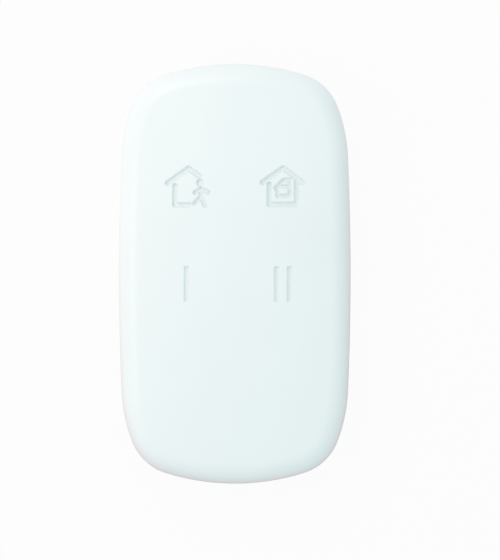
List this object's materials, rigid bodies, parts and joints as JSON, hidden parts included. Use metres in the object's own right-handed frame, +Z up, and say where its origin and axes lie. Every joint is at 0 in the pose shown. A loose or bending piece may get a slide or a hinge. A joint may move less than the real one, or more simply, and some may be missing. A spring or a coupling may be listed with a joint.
{
  "type": "alarm key fob",
  "caption": "Slim rounded four-key alarm fob with a seamless soft face over its keys and a coin-turn battery cover in its back.",
  "frame": {"origin": "centre of the overall box's underside: under the middle of the fob, on the flat of its back", "axes": "+X across the fob to the right, seen from its face; +Y along it to the upper end, where the strap slot is; +Z up out of the face"},
  "size_m": [0.036, 0.065, 0.0115],
  "materials": {
    "skin": "satin soft-touch elastomer, cool white",
    "shell": "fine satin mould finish, cool white",
    "key_plastic": "plain moulded, light grey",
    "seal": "plain black rubber",
    "board": "green solder resist",
    "chip": "black moulding",
    "capacitor": "tan ceramic",
    "copper": "bright copper strip",
    "steel": "bright stamped steel",
    "cell_steel": "nickel-plated steel",
    "contact": "spring steel, nickel-plated",
    "screw_steel": "zinc-plated steel",
    "gasket": "natural polymer",
    "switch_plastic": "black moulding",
    "stem_plastic": "black moulding"
  },
  "bodies": {
    "casing": {"back_shell": "shell", "front_shell": "shell", "face_skin": "skin", "circuit_board": "board", "radio_chip": "chip", "crystal": "steel", "chip_capacitors": "capacitor", "antenna_loop": "copper", "battery_can": "cell_steel", "battery_gasket": "gasket", "battery_cap": "cell_steel", "positive_contact": "contact", "negative_contact": "contact", "case_screws": "screw_steel", "switch_base_away": "switch_plastic", "switch_frame_away": "steel", "switch_base_disarm": "switch_plastic", "switch_frame_disarm": "steel", "switch_base_part_one": "switch_plastic", "switch_frame_part_one": "steel", "switch_base_part_two": "switch_plastic", "switch_frame_part_two": "steel"},
    "battery_cover": {"battery_cover": "shell", "cover_seal": "seal"},
    "key_away": {"key_away": "key_plastic", "switch_stem_away": "stem_plastic"},
    "key_disarm": {"key_disarm": "key_plastic", "switch_stem_disarm": "stem_plastic"},
    "key_part_one": {"key_part_one": "key_plastic", "switch_stem_part_one": "stem_plastic"},
    "key_part_two": {"key_part_two": "key_plastic", "switch_stem_part_two": "stem_plastic"}
  },
  "joints": [
    {"name": "press_away", "type": "slide", "parent": "casing", "child": "key_away", "axis": [0, 0, -1], "range_m": [0, 0.00035], "stiffness_N_per_m": 2500, "springref_m": -0.0002},
    {"name": "press_disarm", "type": "slide", "parent": "casing", "child": "key_disarm", "axis": [0, 0, -1], "range_m": [0, 0.00035], "stiffness_N_per_m": 2500, "springref_m": -0.0002},
    {"name": "press_part_one", "type": "slide", "parent": "casing", "child": "key_part_one", "axis": [0, 0, -1], "range_m": [0, 0.00035], "stiffness_N_per_m": 2500, "springref_m": -0.0002},
    {"name": "press_part_two", "type": "slide", "parent": "casing", "child": "key_part_two", "axis": [0, 0, -1], "range_m": [0, 0.00035], "stiffness_N_per_m": 2500, "springref_m": -0.0002},
    {"name": "cover_turn", "type": "hinge", "parent": "casing", "child": "battery_cover", "pos_m": [0, -0.01, 0], "axis": [0, 0, -1], "range_deg": [0, 45]}
  ]
}
